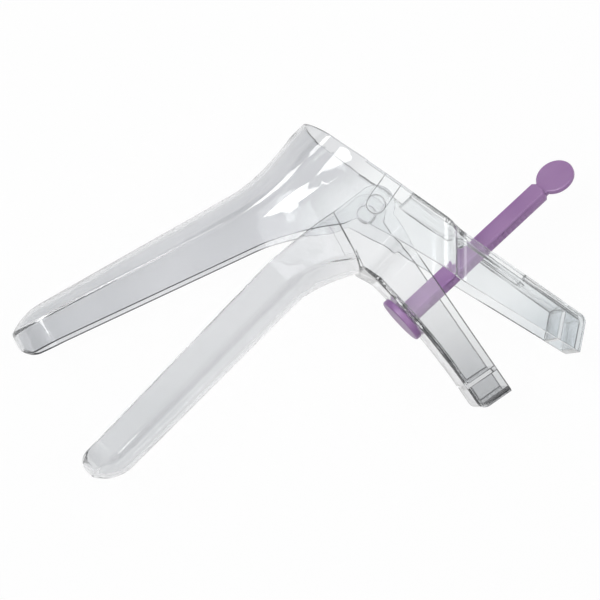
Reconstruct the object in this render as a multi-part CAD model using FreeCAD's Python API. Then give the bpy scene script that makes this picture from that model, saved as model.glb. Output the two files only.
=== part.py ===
# Bivalve speculum, disposable kind: two clear moulded valves that turn on each other like
# a clothes peg, and one coloured lock bar through both handles.
# It lies on its side: the hinge axis is Z, the lower cheek's outer face is Z = 0, the upper
# blade points along -X and its handle down and away along -Y. Lengths are millimetres.
import FreeCAD
import Part
import math
import os

Vec = FreeCAD.Vector

# Walls and clearances
wall = 1.5
side_gap = 0.4            # a cheek of the upper valve to an ear of the lower valve
nest_gap = 0.6            # lower blade inside the upper blade, on each side
pivot_gap = 0.05          # radial, pin in its socket
bore_gap = 0.08           # radial, bar in the round part of its seat
slot_gap = 0.15           # bar to the long edges of the upper slot
seat_gap = 0.3            # disc to the handle that it bears on
overcut = 3.0             # how far a cut runs past the face that it opens

# Rest pose
open_angle = 18.0         # the lower valve is turned this far from closed
bar_turn = 43.0           # the bar's flats are turned this far from facing +Z

# Upper valve: blade, with the hinge at the origin and the blade along -X
cheek_half = 18.0         # half the width over the flat cheeks
blade_half = 13.4
nose_x = -106.3           # centre of the half-round nose
nose_edge_y = 7.8
nose_crown_y = 21.6
nose_drop = 5.0           # fall of the crown's arc to the fold line
nose_corner = 5.0         # rounding of the nose's free edge, seen from the side
nose_step_low = 4.8       # heights over the free edge where the walls can step, here unused
nose_step_high = 6.2
root_x = -38.0            # the straight blade ends and the flare begins
root_edge_y = 5.3
root_crown_y = 24.5
root_drop = 7.5
root_step_low = 6.4       # the horn's step starts here with no width
root_step_high = 8.0
neck_x = -12.0            # the flare ends and the flat cheeks begin
neck_edge_y = -0.9
neck_crown_y = 32.6
neck_drop = 9.4
neck_step_low = 12.4
neck_step_high = 18.2
neck_step_in = 2.2
fold_radius = 1.6         # between the side wall and the crown, along the blade
neck_fold_radius = 5.0
sharp_radius = 1.0        # an inner fold under this radius is a plain slant
flare_curl = 1.6          # how late the flare opens: 1 is straight
blade_strips = 3
flare_strips = 8

# Upper valve: face plate, mouth and handle
plate_angle = -62.4       # direction of the plate, from +X
plate_offset = 9.8        # outer face of the plate to the hinge axis
mouth_top = -33.5         # along the plate, from the foot of the hinge's perpendicular
mouth_end = 8.0
mouth_drop = 9.0
mouth_fold_radius = 7.0
horn_step = 1.6           # the mouth's horn stands this far inside the cheeks
horn_foot = -11.4         # where the horn's step meets the plate, its lower side
horn_brow = -19.3         # and its upper side
handle_half = 12.2
handle_end = 75.2         # along the plate
handle_tip_x = 36.5       # end of the free edge
handle_tip_y = -70.9
handle_bend_x = 14.1      # the free edge bends here
handle_bend_y = -34.0
cheek_heel_x = 1.0
cheek_heel_y = -12.9
cheek_toe_x = -7.7
cheek_toe_y = -0.4
shoulder_start = 18.9     # along the plate: the hub's width starts to fall to the handle's
shoulder_end = 28.9
shoulder_slant = 0.69     # shift along the handle for each millimetre of depth
handle_chamfer = 0.8      # along the outer edges of both handles
handle_round = 3.0        # outer corner of each handle's closed end
rib_setback = 6.5         # cross rib from the closed end of the handle
rib_thickness = 1.2

# Upper slot for the bar
slot_start = 28.4
slot_end = 52.6
slot_corner = 1.0
slot_lip_height = 0.8     # raised lip round the slot, on the inside of the plate
slot_lip_width = 1.2

# Hinge
pin_radius = 2.95
pin_chamfer = 0.3
pin_length = 1.0          # in the cheek's blind socket
ear_radius = 6.2
lead_in_depth = 0.5       # groove that guides the pin to its socket
lead_in_length = 11.5

# Lower valve, drawn closed: the blade nests in the upper one
low_nose_x = -111.4
low_nose_edge_y = 10.2
low_nose_crown_y = -3.6
low_nose_corner = 5.0
low_root_edge_y = 11.2
low_root_crown_y = -4.2
low_drop = 6.8
low_neck_edge_x = -9.5    # the flare ends here, in a slanted plane
low_neck_edge_y = 7.5
low_neck_crown_x = -17.0
low_neck_crown_y = -11.8
low_neck_drop = 4.5
low_neck_fold_radius = 4.0
low_handle_half = 10.0
low_plate_top_x = -16.0   # the handle's outer face is an arc through these three points
low_plate_top_y = -17.0
low_plate_middle_x = -17.3
low_plate_middle_y = -40.0
low_plate_end_x = -22.0
low_plate_end_y = -69.6
low_handle_tip_x = -10.7
low_handle_tip_y = -71.8
low_handle_knee_x = -2.3
low_handle_knee_y = -28.4
low_shoulder_start = 9.0  # below the hinge
low_shoulder_end = 21.0
collar_height = 0.8
collar_width = 1.4

# Lock bar
bar_drop = 31.85          # the seat's centre below the hinge, in the closed lower valve
bar_tilt = -2.7           # direction of the bar from +X there
bar_radius = 3.55
bar_flat_half = 2.1
bar_length = 59.9         # from the handle's outer face to the neck
paddle_radius = 6.35
paddle_thickness = 2.0
neck_length = 2.0
neck_width = 5.4
neck_chamfer = 0.8
disc_radius = 8.0
disc_thickness = 2.3
rim_chamfer = 0.4         # round the disc and the paddle
tooth_pitch = 2.0
tooth_depth = 0.35
tooth_width = 2.4
teeth_start = 8.0
teeth_end = 52.0

# What follows from these
axis = Vec(0, 0, 1)
origin = Vec(0, 0, 0)
lift = axis * cheek_half
inner_cheek = cheek_half - wall
ear_half = inner_cheek - side_gap
low_blade_half = blade_half - wall - nest_gap
same_place = 1e-4

handle_tip = Vec(handle_tip_x, handle_tip_y, 0)
handle_bend = Vec(handle_bend_x, handle_bend_y, 0)
cheek_heel = Vec(cheek_heel_x, cheek_heel_y, 0)
cheek_toe = Vec(cheek_toe_x, cheek_toe_y, 0)
low_plate_top = Vec(low_plate_top_x, low_plate_top_y, 0)
low_plate_middle = Vec(low_plate_middle_x, low_plate_middle_y, 0)
low_plate_end = Vec(low_plate_end_x, low_plate_end_y, 0)
low_handle_tip = Vec(low_handle_tip_x, low_handle_tip_y, 0)
low_handle_knee = Vec(low_handle_knee_x, low_handle_knee_y, 0)


def direction(angle):
    """Unit vector in the XY plane."""
    return Vec(math.cos(math.radians(angle)), math.sin(math.radians(angle)), 0)


plate_along = direction(plate_angle)
plate_out = direction(plate_angle + 90)


def on_plate(along, depth=0.0):
    """Point of the face plate's outer face, or that far inside it."""
    return plate_along * along + plate_out * (plate_offset - depth)


def smooth_step(share):
    """0 to 1 with level ends."""
    return share * share * (3 - 2 * share)


class Arch:
    """Section of a blade: two side walls, a fold and the crown's arc, all sizes of the outer skin.

    It stands in the plane of Z and the line from edge to crown. A stepped section's walls move
    inwards by step_in between two heights over the free edge."""

    def __init__(self, crown, edge, half, drop, radius, step_low=0.0, step_high=0.0, step_in=0.0):
        self.crown = crown
        self.edge = edge
        self.half = half
        self.drop = drop
        self.radius = radius
        self.step_low = step_low
        self.step_high = step_high
        self.step_in = step_in
        self.sill_is_shut = False

    def sizes(self):
        """All that the section is made from, in the order of its making."""
        return (self.crown, self.edge, self.half, self.drop, self.radius,
                self.step_low, self.step_high, self.step_in)

    def toward(self, other, share):
        """Section that far on the way to another one."""
        return Arch(*(near + (far - near) * share for near, far in zip(self.sizes(), other.sizes())))

    def place(self, z, height):
        """Point of the section in the part's frame."""
        up = (self.crown - self.edge).normalize()
        return self.edge + up * height + axis * z

    def circle(self, inset):
        """Half the width at the fold, then the crown's circle: its radius and its centre's height."""
        half = self.half - inset - self.step_in
        drop = self.drop * half / (half + inset)
        crown_radius = (half ** 2 + drop ** 2) / (2 * drop)
        return half, crown_radius, (self.crown - self.edge).Length - inset - crown_radius

    def skin(self, inset, sink):
        """Right side as (z, height): the wall's corners, the fold's middle, its end and the top."""
        half, crown_radius, centre = self.circle(inset)
        foot = self.half - inset
        radius = max(self.radius - inset, sharp_radius / 2)
        corner = centre + math.sqrt((crown_radius - radius) ** 2 - (half - radius) ** 2)
        turn = math.atan2(corner - centre, half - radius)
        bend = (half - radius + radius * math.cos(turn / 2), corner + radius * math.sin(turn / 2))
        shoulder = (crown_radius * math.cos(turn), centre + crown_radius * math.sin(turn))
        walls = [(foot, -sink)]
        if self.step_high:
            walls += [(foot, self.step_low), (half, self.step_high)]
        walls.append((half, corner))
        return walls, bend, shoulder, (0.0, centre + crown_radius)

    def fold_edge(self, start, bend, end, inset):
        """The fold's edge: an arc, or a slant where its radius is too small to matter."""
        if self.radius - inset < sharp_radius:
            return Part.makeLine(start, end)
        return Part.Arc(start, bend, end).toShape()

    def wire(self, inset=0.0, sink=0.0):
        """Closed outline of the section."""
        walls, bend, shoulder, top = self.skin(inset, 0.0 if self.sill_is_shut else sink)
        right = [self.place(z, height) for z, height in walls]
        left = [self.place(-z, height) for z, height in walls]
        top_right = self.place(*shoulder)
        top_left = self.place(-shoulder[0], shoulder[1])
        edges = [Part.makeLine(a, b) for a, b in zip(right, right[1:])]
        edges.append(self.fold_edge(right[-1], self.place(*bend), top_right, inset))
        edges.append(Part.Arc(top_right, self.place(*top), top_left).toShape())
        edges.append(self.fold_edge(top_left, self.place(-bend[0], bend[1]), left[-1], inset))
        edges += [Part.makeLine(b, a) for a, b in reversed(list(zip(left, left[1:])))]
        edges.append(Part.makeLine(left[0], right[0]))
        return Part.Wire(edges)

    def nose(self, inset=0.0, sink=0.0):
        """Half-round end: the right half of the section, turned half a turn towards -X."""
        walls, bend, shoulder, top = self.skin(inset, sink)
        crown_radius, centre = self.circle(inset)[1:]
        turn = (math.atan2(shoulder[1] - centre, shoulder[0]) + math.pi / 2) / 2
        middle = (crown_radius * math.cos(turn), centre + crown_radius * math.sin(turn))
        foot = self.place(0, -sink)
        sill = self.place(*walls[0])
        fold = self.place(*walls[-1])
        edges = [
            Part.makeLine(foot, sill),
            Part.makeLine(sill, fold),
            self.fold_edge(fold, self.place(*bend), self.place(*shoulder), inset),
            Part.Arc(self.place(*shoulder), self.place(*middle), self.place(*top)).toShape(),
            Part.makeLine(self.place(*top), foot),
        ]
        up = (self.crown - self.edge).normalize()
        half_turn = -180 if up.y > 0 else 180
        return Part.Face(Part.Wire(edges)).revolve(self.edge, up, half_turn)


def blade(nose, root, neck):
    """Sections of a straight blade and of the flare that opens from its root to the neck."""
    sections = [nose.toward(root, index / blade_strips) for index in range(blade_strips)]
    for index in range(flare_strips + 1):
        share = index / flare_strips
        section = root.toward(neck, share ** flare_curl)
        section.crown.x = root.crown.x + (neck.crown.x - root.crown.x) * share
        section.edge.x = root.edge.x + (neck.edge.x - root.edge.x) * share
        section.half = root.half + (neck.half - root.half) * smooth_step(share)
        sections.append(section)
    return sections


def trough(sections, inset=0.0, sink=0.0):
    """Solid of a blade with its half-round nose, or the room inside its walls when inset."""
    body = Part.makeLoft([section.wire(inset, sink) for section in sections], True, True)
    return body.fuse(sections[0].nose(inset, sink))


def outline(points):
    """Closed wire through the points. A tuple of two points is an arc's middle and its end."""
    edges = []
    start = points[0]
    here = start
    for item in points[1:]:
        if isinstance(item, tuple):
            edges.append(Part.Arc(here, item[0], item[1]).toShape())
            here = item[1]
        else:
            edges.append(Part.makeLine(here, item))
            here = item
    if (here - start).Length > same_place:
        edges.append(Part.makeLine(here, start))
    return Part.Wire(edges)


def prism(points, half):
    """Solid along Z over an outline in the XY plane, to half on each side."""
    face = Part.Face(outline(points))
    face.translate(axis * -half)
    return face.extrude(axis * (2 * half))


def s_curve(start, end):
    """Two tangent arcs from start to end as (along, z), level at both ends: (bend, end) of each."""
    run = (end[0] - start[0]) / 2
    rise = (end[1] - start[1]) / 2
    radius = (run ** 2 + rise ** 2) / (2 * abs(rise))
    turn = math.asin(abs(run) / radius) / 2
    step_along = math.copysign(radius * math.sin(turn), run)
    step_across = math.copysign(radius * (1 - math.cos(turn)), rise)
    middle = (start[0] + run, start[1] + rise)
    return [
        ((start[0] + step_along, start[1] + step_across), middle),
        ((end[0] - step_along, end[1] - step_across), end),
    ]


class Width:
    """Outline of a hub and its handle, looking at the face plate: wide, an S-shaped shoulder, narrow."""

    def __init__(self, head, shoulder_from, shoulder_to, tail, hub_half, grip_half):
        self.head = head
        self.shoulder_from = shoulder_from
        self.shoulder_to = shoulder_to
        self.tail = tail
        self.hub_half = hub_half
        self.grip_half = grip_half

    def blank(self, place, draw, inset=0.0):
        """Solid of the outline, drawn through the whole depth. place turns (along, z) into a point."""
        hub = self.hub_half - inset
        grip = self.grip_half - inset
        points = [place(self.head, hub), place(self.shoulder_from, hub)]
        for bend, end in s_curve((self.shoulder_from, hub), (self.shoulder_to, grip)):
            points.append((place(*bend), place(*end)))
        points += [place(self.tail, grip), place(self.tail, -grip), place(self.shoulder_to, -grip)]
        for bend, end in s_curve((self.shoulder_to, -grip), (self.shoulder_from, -hub)):
            points.append((place(*bend), place(*end)))
        points.append(place(self.head, -hub))
        return Part.Face(outline(points)).extrude(draw)


def rounded_corner_cutter(corner, radius, toward, half):
    """What a rounding of that radius takes off a corner that points away from toward."""
    centre = corner + toward * radius
    far = corner - toward * overcut
    block = Part.makeBox(
        abs(centre.x - far.x), abs(centre.y - far.y), 2 * half,
        Vec(min(centre.x, far.x), min(centre.y, far.y), -half))
    return block.cut(Part.makeCylinder(radius, 2 * half, Vec(centre.x, centre.y, -half), axis))


def soften_handle(handle, corner, on_face):
    """Rounds the handle's closed end and chamfers the long edges of its outer face."""
    ends = []
    for edge in handle.Edges:
        if all(Vec(v.X, v.Y, 0).distanceToPoint(corner) < same_place for v in edge.Vertexes):
            ends.append(edge)
    handle = handle.makeFillet(handle_round, ends)
    long_edges = []
    for edge in handle.Edges:
        points = [edge.valueAt(edge.FirstParameter), edge.valueAt(edge.LastParameter)]
        points.append(edge.valueAt((edge.FirstParameter + edge.LastParameter) / 2))
        if all(on_face(point) for point in points) and points[0].z * points[1].z > 0:
            long_edges.append(edge)
    return handle.makeChamfer(handle_chamfer, long_edges)


def upper_plate_place(along, z):
    """Point of the upper face plate, for its width outline."""
    return on_plate(along) + axis * z


def on_upper_face(point):
    """Whether a point is on the upper face plate's outer face."""
    return abs(point.dot(plate_out) - plate_offset) < same_place


def upper_blade():
    """Sections of the upper valve, from the nose to the mouth."""
    nose = Arch(Vec(nose_x, nose_crown_y, 0), Vec(nose_x, nose_edge_y, 0),
                blade_half, nose_drop, fold_radius, nose_step_low, nose_step_high)
    root = Arch(Vec(root_x, root_crown_y, 0), Vec(root_x, root_edge_y, 0),
                blade_half, root_drop, fold_radius, root_step_low, root_step_high)
    neck = Arch(Vec(neck_x, neck_crown_y, 0), Vec(neck_x, neck_edge_y, 0),
                cheek_half, neck_drop, neck_fold_radius, neck_step_low, neck_step_high, neck_step_in)
    mouth = Arch(on_plate(mouth_top), on_plate(mouth_end), cheek_half, mouth_drop, mouth_fold_radius,
                 mouth_end - horn_foot, mouth_end - horn_brow, horn_step)
    mouth.sill_is_shut = True
    return blade(nose, root, neck) + [mouth]


def upper_valve():
    """Upper blade, horn, cheeks with the hinge sockets, and handle with the long slot."""
    sections = upper_blade()
    neck = sections[-2]
    mouth = sections[-1]
    end_corner = on_plate(handle_end)
    side = [
        neck.edge, cheek_toe, cheek_heel, handle_bend, handle_tip,
        end_corner, on_plate(horn_foot + wall), neck.place(0, neck.step_low - wall),
    ]
    width = Width(-handle_end, shoulder_start, shoulder_end, 2 * handle_end, cheek_half, handle_half)
    draw = (plate_along * shoulder_slant - plate_out) * (3 * plate_offset)
    flat_side = prism(side, 2 * cheek_half)
    handle = flat_side.common(width.blank(upper_plate_place, draw))
    handle = soften_handle(handle, end_corner, on_upper_face)
    shell = trough(sections).cut(flat_side).fuse(handle)

    end_along = (handle_tip - end_corner).normalize()
    end_up = Vec(end_along.y, -end_along.x, 0)
    far = end_along * (2 * plate_offset)
    inner_end = on_plate(handle_end, wall) + end_up * wall
    rib_high = inner_end - plate_along * rib_setback
    rib_low = rib_high + plate_along * rib_thickness
    deep = plate_out * (2 * plate_offset)
    cavity = [
        neck.place(0, neck.step_low - wall),
        on_plate(horn_foot + wall, wall),
        rib_high,
        rib_high + far,
        handle_bend - deep,
        Vec(neck.edge.x, -2 * plate_offset, 0),
    ]
    pocket = [rib_low, inner_end, inner_end + far, rib_low + far]
    inner_blank = width.blank(upper_plate_place, draw, wall)
    shell = shell.cut(trough(sections, wall, overcut))
    shell = shell.cut(Part.Face(mouth.wire(wall)).extrude(plate_out * overcut))
    shell = shell.cut(prism(cavity, 2 * cheek_half).common(inner_blank))
    shell = shell.cut(prism(pocket, 2 * cheek_half).common(inner_blank))

    tip = Vec(nose_x - blade_half, nose_edge_y, 0)
    shell = shell.cut(rounded_corner_cutter(tip, nose_corner, Vec(1, 1, 0), 2 * cheek_half))
    for side_sign in (1, -1):
        shell = shell.cut(hinge_socket(side_sign))
    slot_half = bar_radius + slot_gap
    lip = slot_block(slot_half + slot_lip_width, slot_start - slot_lip_width, slot_end + slot_lip_width,
                     wall / 2, wall + slot_lip_height)
    shell = shell.fuse(lip)
    shell = shell.cut(slot_block(slot_half, slot_start, slot_end, -overcut, wall + slot_lip_height + overcut))
    return shell.removeSplitter()


def slot_block(half, start, end, depth_from, depth_to):
    """Round-cornered block through the upper face plate, between two depths."""
    box = Part.makeBox(end - start, 2 * half, depth_to - depth_from)
    upright = [e for e in box.Edges if abs(e.Vertexes[0].Z - e.Vertexes[1].Z) > same_place]
    box = box.makeFillet(slot_corner, upright)
    base = on_plate(start, depth_from) - axis * half
    box.Placement = FreeCAD.Placement(FreeCAD.Matrix(
        plate_along.x, 0, -plate_out.x, base.x,
        plate_along.y, 0, -plate_out.y, base.y,
        0, 1, 0, base.z,
        0, 0, 0, 1))
    return box


def hinge_socket(side_sign):
    """Blind hole in a cheek's inner face, with the groove that leads the pin in from the plate."""
    radius = pin_radius + pivot_gap
    depth = pin_length + pivot_gap
    socket = Part.makeCylinder(radius, depth + side_gap, axis * ear_half, axis)
    groove = Part.makeBox(lead_in_length, 2 * radius, lead_in_depth + side_gap)
    groove.translate(Vec(0, -radius, ear_half))
    groove.rotate(origin, axis, plate_angle + 90)
    both = socket.fuse(groove)
    if side_sign < 0:
        both = both.mirror(origin, axis)
    return both


def hinge_pin(side_sign):
    """Pin on an ear's outer face, with a chamfered end."""
    length = wall / 2 + side_gap + pin_length
    pin = Part.makeCylinder(pin_radius, length)
    rim = [e for e in pin.Edges if e.Closed and abs(e.BoundBox.ZMin - length) < same_place]
    pin = pin.makeChamfer(pin_chamfer, rim)
    pin.translate(axis * (ear_half - wall / 2))
    if side_sign < 0:
        pin = pin.mirror(origin, axis)
    return pin


def ear_touch(point):
    """Where a line from the point touches the ear's round, on its upper side."""
    reach = math.acos(ear_radius / point.Length)
    return direction(math.degrees(math.atan2(point.y, point.x) - reach)) * ear_radius


def ear_cross(start, end):
    """Where the line from end to start, drawn on, enters the ear's round."""
    along = (end - start).normalize()
    nearest = start - along * start.dot(along)
    return nearest + along * math.sqrt(ear_radius ** 2 - nearest.Length ** 2)


def lower_blade():
    """Sections of the lower valve, drawn closed, from the nose to the ears."""
    nose = Arch(Vec(low_nose_x, low_nose_crown_y, 0), Vec(low_nose_x, low_nose_edge_y, 0),
                low_blade_half, low_drop, fold_radius)
    root = Arch(Vec(root_x, low_root_crown_y, 0), Vec(root_x, low_root_edge_y, 0),
                low_blade_half, low_drop, fold_radius)
    neck = Arch(Vec(low_neck_crown_x, low_neck_crown_y, 0), Vec(low_neck_edge_x, low_neck_edge_y, 0),
                ear_half, low_neck_drop, low_neck_fold_radius)
    return blade(nose, root, neck)


def low_plate_curve():
    """Circle of the lower handle's outer face."""
    return Part.Arc(low_plate_top, low_plate_middle, low_plate_end).toShape().Curve


def on_lower_face(point):
    """Whether a point is on the lower handle's outer face."""
    curve = low_plate_curve()
    return abs(Vec(point.x, point.y, 0).distanceToPoint(curve.Center) - curve.Radius) < same_place


def lower_plate_place(along, z):
    """Point outside the lower face plate, that far below the hinge, for its width outline."""
    return Vec(low_plate_end_x - 2 * overcut, -along, z)


def lower_valve():
    """Lower blade, ears with the hinge pins, and handle with the bar's seat, drawn closed."""
    sections = lower_blade()
    neck = sections[-1]
    side = [
        neck.crown, low_plate_top, (low_plate_middle, low_plate_end), low_handle_tip,
        ear_cross(low_handle_knee, low_handle_tip), (Vec(ear_radius, 0, 0), ear_touch(neck.edge)), neck.edge,
    ]
    width = Width(-2 * ear_radius - overcut, low_shoulder_start, low_shoulder_end,
                  overcut - low_handle_tip_y, ear_half, low_handle_half)
    draw = Vec(ear_radius - low_plate_end_x + 4 * overcut, 0, 0)
    handle = prism(side, 2 * ear_half).common(width.blank(lower_plate_place, draw))
    handle = soften_handle(handle, low_plate_end, on_lower_face)
    shell = trough(sections).fuse(handle)

    inward = Vec(wall, 0, 0)
    end_along = (low_handle_tip - low_plate_end).normalize()
    end_up = Vec(-end_along.y, end_along.x, 0)
    far = end_along * (4 * ear_radius)
    inner_end = low_plate_end + inward + end_up * wall
    rib_low = inner_end + end_up * rib_setback
    rib_high = rib_low + end_up * rib_thickness
    cavity = [
        neck.place(0, (neck.crown - neck.edge).Length - wall),
        low_plate_top + inward,
        (low_plate_middle + inward, rib_high),
        rib_high + far,
        Vec(4 * ear_radius, 2 * ear_radius, 0),
        Vec(neck.edge.x, 2 * ear_radius, 0),
    ]
    pocket = [rib_low, inner_end, inner_end + far, rib_low + far]
    inner_blank = width.blank(lower_plate_place, draw, wall)
    shell = shell.cut(trough(sections, wall, overcut))
    shell = shell.cut(prism(cavity, 2 * cheek_half).common(inner_blank))
    shell = shell.cut(prism(pocket, 2 * cheek_half).common(inner_blank))

    tip = Vec(low_nose_x - low_blade_half, low_nose_edge_y, 0)
    shell = shell.cut(rounded_corner_cutter(tip, low_nose_corner, Vec(1, -1, 0), 2 * cheek_half))
    for side_sign in (1, -1):
        shell = shell.fuse(hinge_pin(side_sign))
    bore = bar_radius + bore_gap
    collar = Part.makeCylinder(bore + collar_width, wall / 2 + collar_height,
                               Vec(wall / 2, 0, 0), Vec(1, 0, 0))
    shell = shell.fuse(at_seat(collar))
    through = wall + collar_height + 2 * overcut
    hole = Part.makeCylinder(bore, through, Vec(-overcut, 0, 0), Vec(1, 0, 0))
    key_half = paddle_radius + slot_gap
    key_thick = paddle_thickness + 2 * slot_gap
    key = Part.makeBox(through, 2 * key_half, key_thick, Vec(-overcut, -key_half, -key_thick / 2))
    return shell.cut(at_seat(hole.fuse(key))).removeSplitter()


def bar_seat():
    """Centre of the bar's hole on the outer face of the lower handle, in the closed valve."""
    curve = low_plate_curve()
    rise = -bar_drop - curve.Center.y
    run = math.sqrt(curve.Radius ** 2 - rise ** 2)
    return Vec(curve.Center.x + math.copysign(run, low_plate_middle_x - curve.Center.x), -bar_drop, 0)


def at_seat(shape):
    """Moves a shape drawn round +X, from the origin, to the bar's seat in the closed lower valve."""
    shape.rotate(origin, axis, bar_tilt)
    shape.translate(bar_seat())
    return shape


def chamfered_disc(radius, thickness, base, along):
    """Flat round with both its rims chamfered."""
    disc = Part.makeCylinder(radius, thickness, base, along)
    return disc.makeChamfer(rim_chamfer, [e for e in disc.Edges if e.Closed])


def tooth_cutters():
    """V-shaped bites along both round sides of the bar."""
    cutters = []
    for index in range(int((teeth_end - teeth_start) / tooth_pitch)):
        root = teeth_start + index * tooth_pitch
        for sign in (1, -1):
            crest = sign * (bar_radius + tooth_depth)
            low = sign * (bar_radius - tooth_depth)
            points = [Vec(root, crest, 0), Vec(root, low, 0), Vec(root + tooth_pitch, crest, 0)]
            cutters.append(prism(points, tooth_width / 2))
    return Part.makeCompound(cutters)


def lock_bar():
    """Disc, toothed bar and round paddle, drawn along +X from the handle's outer face."""
    along = Vec(1, 0, 0)
    disc = chamfered_disc(disc_radius, disc_thickness, along * (-seat_gap - disc_thickness), along)
    shaft_start = -seat_gap - disc_thickness / 2
    shaft = Part.makeCylinder(bar_radius, bar_length - shaft_start, along * shaft_start, along)
    rim = [e for e in shaft.Edges if e.Closed and e.BoundBox.XMin > bar_length - same_place]
    shaft = shaft.makeChamfer(neck_chamfer, rim)
    flats = Part.makeBox(2 * bar_length, 4 * bar_radius, 2 * bar_flat_half,
                         Vec(-bar_length / 2, -2 * bar_radius, -bar_flat_half))
    shaft = shaft.common(flats).cut(tooth_cutters())
    paddle = chamfered_disc(paddle_radius, paddle_thickness,
                            Vec(bar_length + paddle_radius, 0, -paddle_thickness / 2), axis)
    neck = Part.makeBox(2 * neck_length, neck_width, paddle_thickness,
                        Vec(bar_length - neck_length, -neck_width / 2, -paddle_thickness / 2))
    bar = shaft.fuse([disc, neck, paddle]).removeSplitter()
    bar.rotate(origin, along, -bar_turn)
    return bar


def main():
    os.makedirs("parts", exist_ok=True)
    lower = lower_valve()
    bar = at_seat(lock_bar())
    for shape in (lower, bar):
        shape.rotate(origin, axis, open_angle)
    for name, shape in (("upper_valve", upper_valve()), ("lower_valve", lower), ("lock_bar", bar)):
        shape.translate(lift)
        b = shape.BoundBox
        print(name, shape.isValid(), len(shape.Solids), round(shape.Volume),
              [round(v, 2) for v in (b.XMin, b.XMax, b.YMin, b.YMax, b.ZMin, b.ZMax)])
        shape.exportStep("parts/" + name + ".step")


main()
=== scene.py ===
"""Finishes, light and camera for the clear bivalve speculum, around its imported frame."""

import logging
import math
from dataclasses import dataclass, field
from enum import Enum

import bpy
from mathutils import Matrix, Vector


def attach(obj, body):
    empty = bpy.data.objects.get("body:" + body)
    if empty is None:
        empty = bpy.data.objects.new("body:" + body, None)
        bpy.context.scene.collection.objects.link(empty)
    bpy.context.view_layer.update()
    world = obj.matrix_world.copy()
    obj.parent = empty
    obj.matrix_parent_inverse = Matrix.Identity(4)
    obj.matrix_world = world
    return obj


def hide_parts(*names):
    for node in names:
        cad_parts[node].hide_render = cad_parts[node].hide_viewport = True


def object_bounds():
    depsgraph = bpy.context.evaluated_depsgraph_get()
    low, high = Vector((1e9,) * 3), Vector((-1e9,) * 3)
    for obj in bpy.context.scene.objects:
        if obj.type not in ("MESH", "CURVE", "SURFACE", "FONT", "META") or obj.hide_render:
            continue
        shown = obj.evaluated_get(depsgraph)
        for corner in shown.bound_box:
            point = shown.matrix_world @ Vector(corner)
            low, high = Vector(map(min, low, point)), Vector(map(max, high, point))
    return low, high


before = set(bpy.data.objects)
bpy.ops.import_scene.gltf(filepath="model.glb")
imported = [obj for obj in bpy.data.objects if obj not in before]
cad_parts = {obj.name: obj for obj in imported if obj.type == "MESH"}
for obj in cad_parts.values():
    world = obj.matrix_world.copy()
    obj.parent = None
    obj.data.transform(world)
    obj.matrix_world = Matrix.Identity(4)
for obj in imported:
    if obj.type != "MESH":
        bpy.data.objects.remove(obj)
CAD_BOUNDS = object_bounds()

log = logging.getLogger("speculum")

MM = 0.001
RIM_ATTRIBUTE = "rim"
BEVEL_WEIGHT = "bevel_weight_edge"

# Sockets of the mix node for colours, by number, since its other kinds share their names.
MIX_FACTOR = 0
MIX_FIRST = 6
MIX_SECOND = 7
MIX_RESULT = 2

WHITE = (1.0, 1.0, 1.0, 1.0)

Colour = tuple[float, float, float, float]
Triple = tuple[float, float, float]
Span = tuple[float, float]


class Node(Enum):
    """The mouldings, by the names of their nodes in the frame."""

    UPPER = "upper_valve"
    LOWER = "lower_valve"
    BAR = "lock_bar"


class Slot(Enum):
    """The record's material slots."""

    CLEAR = "clear_plastic"
    PURPLE = "purple_plastic"


class Socket:
    """A shader socket that Python's own operators work on."""

    def __init__(self, shader: "Shader", value: bpy.types.NodeSocket | None) -> None:
        """Wraps an output socket.

        Args:
            shader: The shader that the socket belongs to.
            value: The output socket, or None for a node that has none.
        """
        self.shader = shader
        self.value = value

    def _math(self, operation: str, first: "Socket | float", second: "Socket | float") -> "Socket":
        """Adds one Math node.

        Args:
            operation: The node's operation.
            first: First value or socket.
            second: Second value or socket.

        Returns:
            The node's result.
        """
        return self.shader.node("ShaderNodeMath", {"operation": operation}, [first, second])

    def __add__(self, other: "Socket | float") -> "Socket":
        """Sum."""
        return self._math("ADD", self, other)

    def __radd__(self, other: "Socket | float") -> "Socket":
        """Sum, with the socket on the right."""
        return self._math("ADD", other, self)

    def __sub__(self, other: "Socket | float") -> "Socket":
        """Difference."""
        return self._math("SUBTRACT", self, other)

    def __rsub__(self, other: "Socket | float") -> "Socket":
        """Difference, with the socket on the right."""
        return self._math("SUBTRACT", other, self)

    def __mul__(self, other: "Socket | float") -> "Socket":
        """Product."""
        return self._math("MULTIPLY", self, other)

    def __rmul__(self, other: "Socket | float") -> "Socket":
        """Product, with the socket on the right."""
        return self._math("MULTIPLY", other, self)

    def most(self, other: "Socket | float") -> "Socket":
        """Takes the larger of two values.

        Args:
            other: The other value or socket.

        Returns:
            The larger.
        """
        return self._math("MAXIMUM", self, other)

    def ramp(self, low: float, high: float) -> "Socket":
        """Smooth 0 to 1 while the value goes from low to high.

        Args:
            low: Value at which the result is 0.
            high: Value at which the result is 1.

        Returns:
            The result.
        """
        settings = {"interpolation_type": "SMOOTHSTEP"}
        return self.shader.node("ShaderNodeMapRange", settings, [self, low, high, 0.0, 1.0], "Result")


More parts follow.
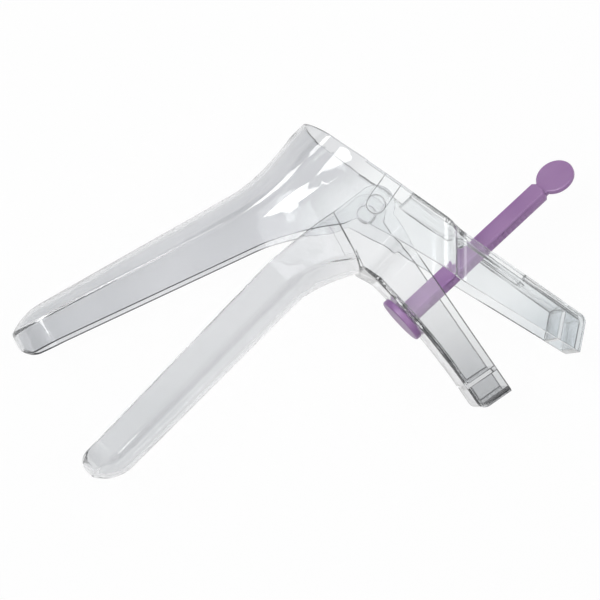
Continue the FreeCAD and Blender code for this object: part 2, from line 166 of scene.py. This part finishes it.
class Shader:
    """Node tree of a material or of the world, filled by one method."""

    def __init__(self, owner: bpy.types.ID) -> None:
        """Clears the owner's tree.

        Args:
            owner: The material or world.
        """
        owner.use_nodes = True
        self.tree = owner.node_tree
        self.tree.nodes.clear()

    def node(
        self,
        kind: str,
        settings: dict | None = None,
        inputs: list | dict | tuple = (),
        output: int | str = 0,
    ) -> Socket:
        """Adds one node.

        Args:
            kind: The node's type.
            settings: Attributes of the node, set before its sockets.
            inputs: Values or sockets, as a list in order or a dict by name.
            output: The output that is wanted.

        Returns:
            The wanted output.
        """
        made = self.tree.nodes.new(kind)
        for name, value in (settings or {}).items():
            setattr(made, name, value)
        pairs = inputs.items() if isinstance(inputs, dict) else enumerate(inputs)
        for key, value in pairs:
            if isinstance(value, Socket):
                self.tree.links.new(value.value, made.inputs[key])
            else:
                made.inputs[key].default_value = value
        return Socket(self, made.outputs[output]) if made.outputs else Socket(self, None)

    def place(self, scale: Triple = (1.0, 1.0, 1.0)) -> Socket:
        """Object coordinates, scaled.

        Args:
            scale: Scale on each axis.

        Returns:
            The coordinates.
        """
        coordinates = self.node("ShaderNodeTexCoord", output="Object")
        inputs = {"Vector": coordinates, "Scale": scale}
        return self.node("ShaderNodeMapping", inputs=inputs, output="Vector")

    def noise(self, scale: float, detail: float, stretch: Triple = (1.0, 1.0, 1.0)) -> Socket:
        """Noise on Object coordinates.

        Args:
            scale: Cycles per metre.
            detail: Octaves.
            stretch: Scale on each axis.

        Returns:
            The noise, about 0 to 1.
        """
        inputs = {"Vector": self.place(stretch), "Scale": scale, "Detail": detail}
        return self.node("ShaderNodeTexNoise", inputs=inputs)

    def mix(self, factor: Socket, first: Socket | Colour, second: Socket | Colour) -> Socket:
        """Mixes two colours.

        Args:
            factor: 0 for the first, 1 for the second.
            first: First colour or socket.
            second: Second colour or socket.

        Returns:
            The mixed colour.
        """
        inputs = {MIX_FACTOR: factor, MIX_FIRST: first, MIX_SECOND: second}
        return self.node("ShaderNodeMix", {"data_type": "RGBA"}, inputs, MIX_RESULT)

    def bump(self, height: Socket, strength: float, distance: float) -> Socket:
        """A bumped normal.

        Args:
            height: The height.
            strength: 0 to 1.
            distance: Height of a full step, in metres.

        Returns:
            The normal.
        """
        inputs = {"Strength": strength, "Distance": distance, "Height": height}
        return self.node("ShaderNodeBump", inputs=inputs)


@dataclass(frozen=True)
class ClearPlastic:
    """Clear polystyrene as it leaves a polished mould, with painted shade darkening its rims and
    painted light making its hub paler.

    Places are in metres in the node's own frame, scales in cycles per metre, colours are linear.

    Attributes:
        name: The material's name.
        tint: Colour of the blades where they are clearest, and of lamp light that passes.
        haze_tint: Colour of the blades where they are cloudiest.
        hub_painted_light: Painted light, a paler colour of the cheeks and of the handle's near end.
        end_painted_shade: Painted shade, a darker colour of the handle's far end.
        end_shade_y: From all of the painted shade to none of it.
        hub_light_x: From none of the painted light to all of it.
        hub_light_y: From all of the painted light to none of it.
        rim_painted_shade: Painted shade, the colour of the dark stretches of the rounded edges.
        rim_shade_scale: Scale of the stretches.
        rim_shade_detail: Octaves of the stretches.
        rim_shade_span: Noise that is outside a stretch and inside one.
        rim_shade_least: Share of the painted shade outside the stretches.
        lip_painted_shade: Least share of the rims' painted shade along the open edge of the blade, a
            painted dark line.
        lip_shade_x: From all of that painted shade to none of it.
        lip_shade_y: From all of that painted shade to none of it.
        clarity: Transmission.
        light_through: Share of a lamp's light that passes without bending.
        index: Index of refraction.
        roughness: Roughness where the plastic is clearest.
        haze: Roughness added where it is cloudiest.
        cloud_scale: Scale of the cloudiness.
        cloud_detail: Octaves of the cloudiness.
        cloud_span: Noise that is clearest and cloudiest.
        wave_scale: Scale of the broad flow marks.
        wave_detail: Octaves of the broad flow marks.
        wave_stretch: Scale of the broad flow marks on each axis.
        ripple_scale: Scale of the ripples on them.
        ripple_detail: Octaves of the ripples.
        ripple_stretch: Scale of the ripples on each axis.
        ripple_share: Height of the ripples, as a share of the waves.
        flow_depth: Height of the flow marks, in metres.
        flow_strength: Strength of their bump, 0 to 1.
    """

    name: str
    tint: Colour
    haze_tint: Colour
    hub_painted_light: Colour
    end_painted_shade: Colour
    end_shade_y: Span
    hub_light_x: Span = (-30.0 * MM, -5.0 * MM)
    hub_light_y: Span = (4.0 * MM, 18.0 * MM)
    rim_painted_shade: Colour = (0.015, 0.016, 0.018, 1.0)
    rim_shade_scale: float = 46.0
    rim_shade_detail: float = 0.5
    rim_shade_span: Span = (0.46, 0.58)
    rim_shade_least: float = 0.2
    lip_painted_shade: float = 0.0
    lip_shade_x: Span = (-38.0 * MM, -30.0 * MM)
    lip_shade_y: Span = (10.0 * MM, 12.0 * MM)
    clarity: float = 0.93
    light_through: float = 0.85
    index: float = 1.59
    roughness: float = 0.02
    haze: float = 0.04
    cloud_scale: float = 22.0
    cloud_detail: float = 1.0
    cloud_span: Span = (0.35, 0.7)
    wave_scale: float = 55.0
    wave_detail: float = 1.5
    wave_stretch: Triple = (0.4, 1.0, 1.0)
    ripple_scale: float = 190.0
    ripple_detail: float = 1.0
    ripple_stretch: Triple = (0.6, 1.0, 1.0)
    ripple_share: float = 0.16
    flow_depth: float = 0.3 * MM
    flow_strength: float = 0.85

    def material(self) -> bpy.types.Material:
        """Makes the material.

        Returns:
            The material.
        """
        made = bpy.data.materials.new(self.name)
        shader = Shader(made)
        haze = shader.noise(self.cloud_scale, self.cloud_detail).ramp(*self.cloud_span)
        inputs = {
            "Base Color": self._colour(shader, haze),
            "Roughness": self.roughness + self.haze * haze,
            "IOR": self.index,
            "Transmission Weight": self.clarity,
            "Normal": self._flow_marks(shader),
        }
        surface = shader.node("ShaderNodeBsdfPrincipled", inputs=inputs)
        lamp_ray = shader.node("ShaderNodeLightPath", output="Is Shadow Ray")
        passing = shader.node("ShaderNodeBsdfTransparent", inputs={"Color": self.tint})
        share = lamp_ray * self.light_through
        lit = shader.node("ShaderNodeMixShader", inputs=[share, surface, passing])
        shader.node("ShaderNodeOutputMaterial", inputs={"Surface": lit})
        return made

    def _colour(self, shader: Shader, haze: Socket) -> Socket:
        """Grey in the blades, with painted light on the hub, and painted shade on the handle ends and
        in dark stretches of the rims.

        Args:
            shader: The material's shader.
            haze: Cloudiness, 0 to 1.

        Returns:
            The colour.
        """
        body = shader.mix(haze, self.tint, self.haze_tint)
        place_x = shader.node("ShaderNodeSeparateXYZ", inputs=[shader.place()], output="X")
        place_y = shader.node("ShaderNodeSeparateXYZ", inputs=[shader.place()], output="Y")
        # Painted light: the cheeks and the handle's near end are painted paler than the blades.
        hub = place_x.ramp(*self.hub_light_x) * (1 - place_y.ramp(*self.hub_light_y))
        hub_lit = shader.mix(hub, body, self.hub_painted_light)
        # Painted shade: the handle's far end is painted darker.
        skin = shader.mix(place_y.ramp(*self.end_shade_y), self.end_painted_shade, hub_lit)
        # Painted shade: the rounded edges are painted dark in stretches that come and go.
        rim = shader.node("ShaderNodeAttribute", {"attribute_name": RIM_ATTRIBUTE}, output="Fac")
        shade_patches = shader.noise(self.rim_shade_scale, self.rim_shade_detail).ramp(*self.rim_shade_span)
        stretches = self.rim_shade_least + (1 - self.rim_shade_least) * shade_patches
        # Painted shade: a dark line along the blade's open edge.
        lip_shade_mask = (1 - place_x.ramp(*self.lip_shade_x)) * (1 - place_y.ramp(*self.lip_shade_y))
        dark = rim * stretches.most(self.lip_painted_shade * lip_shade_mask)
        return shader.mix(dark, skin, self.rim_painted_shade)

    def _flow_marks(self, shader: Shader) -> Socket:
        """Broad waves and small ripples that the melt leaves in the skin.

        Args:
            shader: The material's shader.

        Returns:
            The bumped normal.
        """
        waves = shader.noise(self.wave_scale, self.wave_detail, self.wave_stretch)
        ripples = shader.noise(self.ripple_scale, self.ripple_detail, self.ripple_stretch)
        height = waves + self.ripple_share * ripples
        return shader.bump(height, self.flow_strength, self.flow_depth)


@dataclass(frozen=True)
class PurplePlastic:
    """Coloured, slightly translucent plastic of the lock bar.

    Attributes:
        name: The material's name.
        deep: Colour where the swirls of the melt are deepest.
        pale: Colour where they are palest.
        swirl_scale: Scale of the swirls, in cycles per metre.
        swirl_detail: Octaves of the swirls.
        swirl_stretch: Scale of the swirls on each axis.
        swirl_span: Noise that is deepest and palest.
        roughness: Least roughness.
        grain_scale: Scale of the fine grain, in cycles per metre.
        grain_detail: Octaves of the grain.
        grain_dulling: Roughness that the grain adds.
        grain_strength: Strength of the grain's bump, 0 to 1.
        grain_depth: Height of the grain, in metres.
        index: Index of refraction.
        glow: Share of light scattered under the skin.
        glow_radius: How far red, green and blue scatter, in metres.
    """

    name: str = "purple_polypropylene"
    deep: Colour = (0.295, 0.150, 0.36, 1.0)
    pale: Colour = (0.37, 0.215, 0.425, 1.0)
    swirl_scale: float = 90.0
    swirl_detail: float = 2.0
    swirl_stretch: Triple = (0.35, 1.0, 1.0)
    swirl_span: Span = (0.3, 0.75)
    roughness: float = 0.34
    grain_scale: float = 2600.0
    grain_detail: float = 1.0
    grain_dulling: float = 0.08
    grain_strength: float = 0.12
    grain_depth: float = 0.03 * MM
    index: float = 1.49
    glow: float = 0.12
    glow_radius: Triple = (4.0 * MM, 2.0 * MM, 4.0 * MM)

    def material(self) -> bpy.types.Material:
        """Makes the material.

        Returns:
            The material.
        """
        made = bpy.data.materials.new(self.name)
        shader = Shader(made)
        swirl = shader.noise(self.swirl_scale, self.swirl_detail, self.swirl_stretch)
        grain = shader.noise(self.grain_scale, self.grain_detail)
        inputs = {
            "Base Color": shader.mix(swirl.ramp(*self.swirl_span), self.deep, self.pale),
            "Roughness": self.roughness + self.grain_dulling * grain,
            "IOR": self.index,
            "Subsurface Weight": self.glow,
            "Subsurface Radius": self.glow_radius,
            "Subsurface Scale": 1.0,
            "Normal": shader.bump(grain, self.grain_strength, self.grain_depth),
        }
        surface = shader.node("ShaderNodeBsdfPrincipled", inputs=inputs)
        shader.node("ShaderNodeOutputMaterial", inputs={"Surface": surface})
        return made


@dataclass
class Moulding:
    """One moulding: a smooth, welded copy of its node, dressed in its finish.

    Attributes:
        node: The node that it stands for.
        slot: The material slot that its finish belongs to; not used.
        finish: Its finish.
        edge_round: Width of the rounds on sharp edges, in metres.
        lip_round: Width of the rounds on the lip, in metres.
        weld: Greatest distance of corners that are joined, in metres.
        flat_angle: Greatest bend between faces that are merged, in degrees.
        quad_angle: Greatest bend between triangles that make a quad, in degrees.
        edge_angle: Least bend of an edge that is rounded, in degrees.
        edge_segments: Faces across each round.
        smooth_angle: Greatest bend that is shaded smooth, in degrees.
        piece: The visible piece, once it is built.
    """

    node: Node
    slot: Slot
    finish: ClearPlastic | PurplePlastic
    edge_round: float
    lip_round: float = 0.5 * MM
    weld: float = 0.002 * MM
    flat_angle: float = 0.2
    quad_angle: float = 12.0
    edge_angle: float = 38.0
    edge_segments: int = 2
    smooth_angle: float = 30.0
    piece: bpy.types.Object | None = field(default=None, init=False)

    def build(self) -> bpy.types.Object:
        """Welds a copy of the node and shades it smooth up to its real edges.

        Returns:
            The piece.
        """
        self.piece = self._copy_of_node()
        self._weld_facets()
        self._round_edges()
        bpy.ops.object.shade_smooth_by_angle(angle=math.radians(self.smooth_angle))
        normals = self.piece.modifiers.new("normals", "WEIGHTED_NORMAL")
        normals.keep_sharp = True
        bpy.ops.object.modifier_apply(modifier=normals.name)
        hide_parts(self.node.value)
        return self.piece

    def dress(self) -> None:
        """Gives the piece its finish and its body."""
        self.piece.data.materials.clear()
        self.piece.data.materials.append(self.finish.material())
        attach(self.piece, self.node.value)

    def _copy_of_node(self) -> bpy.types.Object:
        """Copies the node with its own mesh, and leaves the copy alone selected.

        Returns:
            The copy.
        """
        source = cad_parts[self.node.value]
        bpy.ops.object.select_all(action="DESELECT")
        piece = source.copy()
        piece.data = source.data.copy()
        for key in [name for name in piece.keys() if name.startswith("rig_")]:
            del piece[key]
        piece.name = f"{self.node.value}_moulding"
        piece.parent = None
        bpy.context.scene.collection.objects.link(piece)
        bpy.context.view_layer.objects.active = piece
        piece.select_set(True)
        return piece

    def _weld_facets(self) -> None:
        """Joins the loose triangles, and merges flat ones into faces without hollow corners."""
        bpy.ops.object.mode_set(mode="EDIT")
        bpy.ops.mesh.select_all(action="SELECT")
        bpy.ops.mesh.remove_doubles(threshold=self.weld)
        bpy.ops.mesh.customdata_custom_splitnormals_clear()
        bpy.ops.mesh.dissolve_limited(angle_limit=math.radians(self.flat_angle))
        bpy.ops.mesh.vert_connect_concave()
        bpy.ops.mesh.tris_convert_to_quads(
            face_threshold=math.radians(self.quad_angle),
            shape_threshold=math.pi,
        )
        bpy.ops.object.mode_set(mode="OBJECT")

    def _round_edges(self) -> None:
        """Rounds the sharp edges a little, as a mould leaves them, and marks the rounds as rims."""
        mesh = self.piece.data
        mesh.materials.clear()
        mesh.materials.append(None)
        mesh.materials.append(None)
        self._weigh_edges(mesh)
        bevel = self.piece.modifiers.new("edges", "BEVEL")
        bevel.width = self.lip_round
        bevel.segments = self.edge_segments
        bevel.limit_method = "WEIGHT"
        bevel.use_clamp_overlap = False
        bevel.material = 1
        bpy.ops.object.modifier_apply(modifier=bevel.name)
        rim = mesh.attributes.new(RIM_ATTRIBUTE, "FLOAT", "FACE")
        for face in mesh.polygons:
            rim.data[face.index].value = float(face.material_index)
            face.material_index = 0

    def _weigh_edges(self, mesh: bpy.types.Mesh) -> None:
        """Picks the sharp edges, and gives those of the blade's lip a wider round.

        Args:
            mesh: The piece's mesh.
        """
        bpy.ops.object.mode_set(mode="EDIT")
        bpy.ops.mesh.select_all(action="DESELECT")
        bpy.ops.mesh.select_mode(type="EDGE")
        bpy.ops.mesh.edges_select_sharp(sharpness=math.radians(self.edge_angle))
        bpy.ops.object.mode_set(mode="OBJECT")
        weights = mesh.attributes.new(BEVEL_WEIGHT, "FLOAT", "EDGE")
        for edge in mesh.edges:
            if edge.select:
                ends = [mesh.vertices[index].co for index in edge.vertices]
                on_lip = all(self.on_lip(end) for end in ends)
                weights.data[edge.index].value = 1.0 if on_lip else self.edge_round / self.lip_round

    def on_lip(self, place: Vector) -> bool:
        """Tells whether a place is on a lip that gets the wider round.

        Args:
            place: The place, in metres in the node's own frame.

        Returns:
            Whether it is on a lip. A plain moulding has none.
        """
        return False


@dataclass
class UpperValve(Moulding):
    """Upper blade, cheeks, slotted plate and handle, in one clear moulding.

    Attributes:
        lip_x: The lip is on the blade's side of this.
        lip_y: The lip is below this.
    """

    node: Node = Node.UPPER
    slot: Slot = Slot.CLEAR
    finish: ClearPlastic = ClearPlastic(
        name="clear_upper",
        # Greyer than the lower valve's colours, as painted shade on the same plastic.
        tint=(0.82, 0.825, 0.84, 1.0),
        haze_tint=(0.74, 0.75, 0.765, 1.0),
        # Painted light: the hub is painted paler.
        hub_painted_light=(0.94, 0.955, 0.96, 1.0),
        # Painted shade: the handle's far end is painted darker.
        end_painted_shade=(0.70, 0.735, 0.755, 1.0),
        end_shade_y=(-75.0 * MM, -40.0 * MM),
        # Painted shade: a dark line along the blade's open edge.
        lip_painted_shade=1.0,
    )
    edge_round: float = 0.25 * MM
    lip_x: float = -38.0 * MM
    lip_y: float = 11.0 * MM

    def on_lip(self, place: Vector) -> bool:
        """Tells whether a place is on the open edge of the blade.

        Args:
            place: The place, in metres in the node's own frame.

        Returns:
            Whether it is on that edge.
        """
        return place.x < self.lip_x and place.y < self.lip_y


@dataclass
class LowerValve(Moulding):
    """Lower blade, hinge pins and handle, in one clear moulding."""

    node: Node = Node.LOWER
    slot: Slot = Slot.CLEAR
    finish: ClearPlastic = ClearPlastic(
        name="clear_lower",
        tint=(0.86, 0.865, 0.875, 1.0),
        haze_tint=(0.80, 0.81, 0.82, 1.0),
        # Painted light: the hub is painted paler.
        hub_painted_light=(0.95, 0.955, 0.96, 1.0),
        # Painted shade: the handle's far end is painted darker.
        end_painted_shade=(0.67, 0.68, 0.69, 1.0),
        end_shade_y=(-75.0 * MM, -25.0 * MM),
    )
    edge_round: float = 0.25 * MM


@dataclass
class LockBar(Moulding):
    """Toothed bar with its foot disc and thumb paddle, in one purple moulding."""

    node: Node = Node.BAR
    slot: Slot = Slot.PURPLE
    finish: PurplePlastic = PurplePlastic()
    edge_round: float = 0.12 * MM


@dataclass
class Studio:
    """Pale floor, soft lights and the camera above the speculum lying on its side.

    Attributes:
        aim: The place that the camera looks at, in metres.
        roll_up: The direction that is up in the picture.
        lean: How far the camera leans from the vertical, in degrees.
        lean_towards: The direction in X and Y that it leans towards.
        distance: Distance of the camera from the aim, in metres.
        near_clip: The camera's near clipping distance, in metres.
        pixels_per_mm: Scale of the picture at the aim.
        image_pixels: Width of the picture.
        sensor: Width of the camera's sensor, in its own millimetres.
        floor_gap: Gap between the floor and the speculum, in metres.
        floor_size: Side of the floor, in metres.
        floor_paint: Colour of the floor where it catches shadows.
        floor_white: Share of the floor's look that is plain white.
        backdrop_top: Height of a direction where the white backdrop ends, from all to none.
        room_low: Light of the room near the horizon.
        room_rise: Light that is added towards the top.
        room_span: Height of a direction, from none of that added light to all of it.
    """

    aim: Triple = (-33.6 * MM, -15.3 * MM, 18.0 * MM)
    roll_up: Triple = (0.4617, 0.887, 0.0)
    lean: float = 4.5
    lean_towards: Span = (-0.96, -0.26)
    distance: float = 620.0 * MM
    near_clip: float = 10.0 * MM
    pixels_per_mm: float = 3.135
    image_pixels: float = 600.0
    sensor: float = 36.0
    floor_gap: float = 1.2 * MM
    floor_size: float = 3.0
    floor_paint: Colour = (0.9, 0.9, 0.9, 1.0)
    floor_white: float = 0.95
    backdrop_top: Span = (0.05, 0.2)
    room_low: float = 0.08
    room_rise: float = 0.6
    room_span: Span = (0.25, 0.8)

    def camera(self) -> None:
        """Adds the camera, looking down on the aim."""
        data = bpy.data.cameras.new("camera")
        view = bpy.data.objects.new("camera", data)
        bpy.context.scene.collection.objects.link(view)
        across = self.image_pixels / self.pixels_per_mm * MM
        data.sensor_width = self.sensor
        data.lens = self.sensor * self.distance / across
        data.clip_start = self.near_clip
        tilt = math.radians(self.lean)
        sideways = [share * math.sin(tilt) for share in self.lean_towards]
        away = Vector((*sideways, math.cos(tilt)))
        back = away.normalized()
        right = Vector(self.roll_up).cross(back).normalized()
        up = back.cross(right)
        place = Vector(self.aim) + away * self.distance
        view.matrix_world = self._pose(right, up, back, place)
        bpy.context.scene.camera = view

    @staticmethod
    def _pose(right: Vector, up: Vector, back: Vector, place: Vector) -> Matrix:
        """Puts three axes and a place in one matrix.

        Args:
            right: First axis.
            up: Second axis.
            back: Third axis.
            place: The place.

        Returns:
            The matrix.
        """
        rows = [[right[i], up[i], back[i], place[i]] for i in range(3)]
        return Matrix(rows + [[0.0, 0.0, 0.0, 1.0]])

    def floor(self) -> None:
        """Adds the floor, white to the eye, in gloss and through the plastic, with a soft shadow."""
        height = CAD_BOUNDS[0][2] - self.floor_gap
        bpy.ops.mesh.primitive_plane_add(size=self.floor_size, location=(0.0, 0.0, height))
        floor = bpy.context.active_object
        floor.name = "floor"
        material = bpy.data.materials.new("floor_white")
        shader = Shader(material)
        paint = shader.node("ShaderNodeBsdfDiffuse", inputs={"Color": self.floor_paint})
        white = shader.node("ShaderNodeEmission", inputs={"Color": WHITE, "Strength": 1.0})
        share = self._seen_directly(shader) * self.floor_white
        mixed = shader.node("ShaderNodeMixShader", inputs=[share, paint, white])
        shader.node("ShaderNodeOutputMaterial", inputs={"Surface": mixed})
        floor.data.materials.append(material)

    @staticmethod
    def _seen_directly(shader: Shader) -> Socket:
        """Tells rays that end in the picture from those that only carry light.

        Args:
            shader: The shader that needs to know.

        Returns:
            1 for camera, glossy and transmission rays, and 0 for the rest.
        """
        camera = shader.node("ShaderNodeLightPath", output="Is Camera Ray")
        glossy = shader.node("ShaderNodeLightPath", output="Is Glossy Ray")
        through = shader.node("ShaderNodeLightPath", output="Is Transmission Ray")
        return camera.most(glossy).most(through)

    def world(self) -> None:
        """A white backdrop up to the horizon, a dark band above it for the rims, and a pale top."""
        world = bpy.data.worlds.new("studio")
        bpy.context.scene.world = world
        shader = Shader(world)
        direction = shader.node("ShaderNodeTexCoord", output="Generated")
        height = shader.node("ShaderNodeSeparateXYZ", inputs=[direction], output="Z")
        camera = shader.node("ShaderNodeLightPath", output="Is Camera Ray")
        backdrop = self._seen_directly(shader) * (1 - height.ramp(*self.backdrop_top))
        room = self.room_low + self.room_rise * height.ramp(*self.room_span)
        inputs = {"Color": WHITE, "Strength": camera.most(backdrop).most(room)}
        surface = shader.node("ShaderNodeBackground", inputs=inputs)
        shader.node("ShaderNodeOutputWorld", inputs={"Surface": surface})

    def lights(self) -> None:
        """Adds two soft boxes above the speculum, and a broad card that shows in its gloss alone."""
        self._soft_box("key", (-0.45, 0.5, 0.95), size=0.55, power=4.2)
        self._soft_box("top", (0.58, -0.15, 1.10), size=0.6, power=2.8)
        card = self._soft_box("card", (-0.50, 0.55, 0.85), size=0.85, power=15.0)
        card.visible_diffuse = False
        card.visible_transmission = False

    def _soft_box(self, name: str, place: Triple, size: float, power: float) -> bpy.types.Object:
        """Adds one square lamp that faces the speculum.

        Args:
            name: The lamp's name.
            place: Where it hangs, in metres.
            size: Its side, in metres.
            power: Its power, in watts.

        Returns:
            The lamp.
        """
        data = bpy.data.lights.new(name, "AREA")
        data.shape = "SQUARE"
        data.size = size
        data.energy = power
        lamp = bpy.data.objects.new(name, data)
        bpy.context.scene.collection.objects.link(lamp)
        lamp.location = place
        towards = Vector(self.aim) - lamp.location
        lamp.rotation_euler = towards.to_track_quat("-Z", "Y").to_euler()
        return lamp

    def build(self) -> None:
        """Adds everything that stands round the speculum."""
        self.camera()
        self.floor()
        self.world()
        self.lights()
        bpy.context.scene.view_settings.view_transform = "Standard"


def main() -> None:
    """Builds the pieces and the studio."""
    logging.basicConfig(level=logging.INFO)
    for moulding in (UpperValve(), LowerValve(), LockBar()):
        piece = moulding.build()
        moulding.dress()
        log.info("built %s with %d faces", piece.name, len(piece.data.polygons))
    Studio().build()


if __name__ == "__main__":
    main()
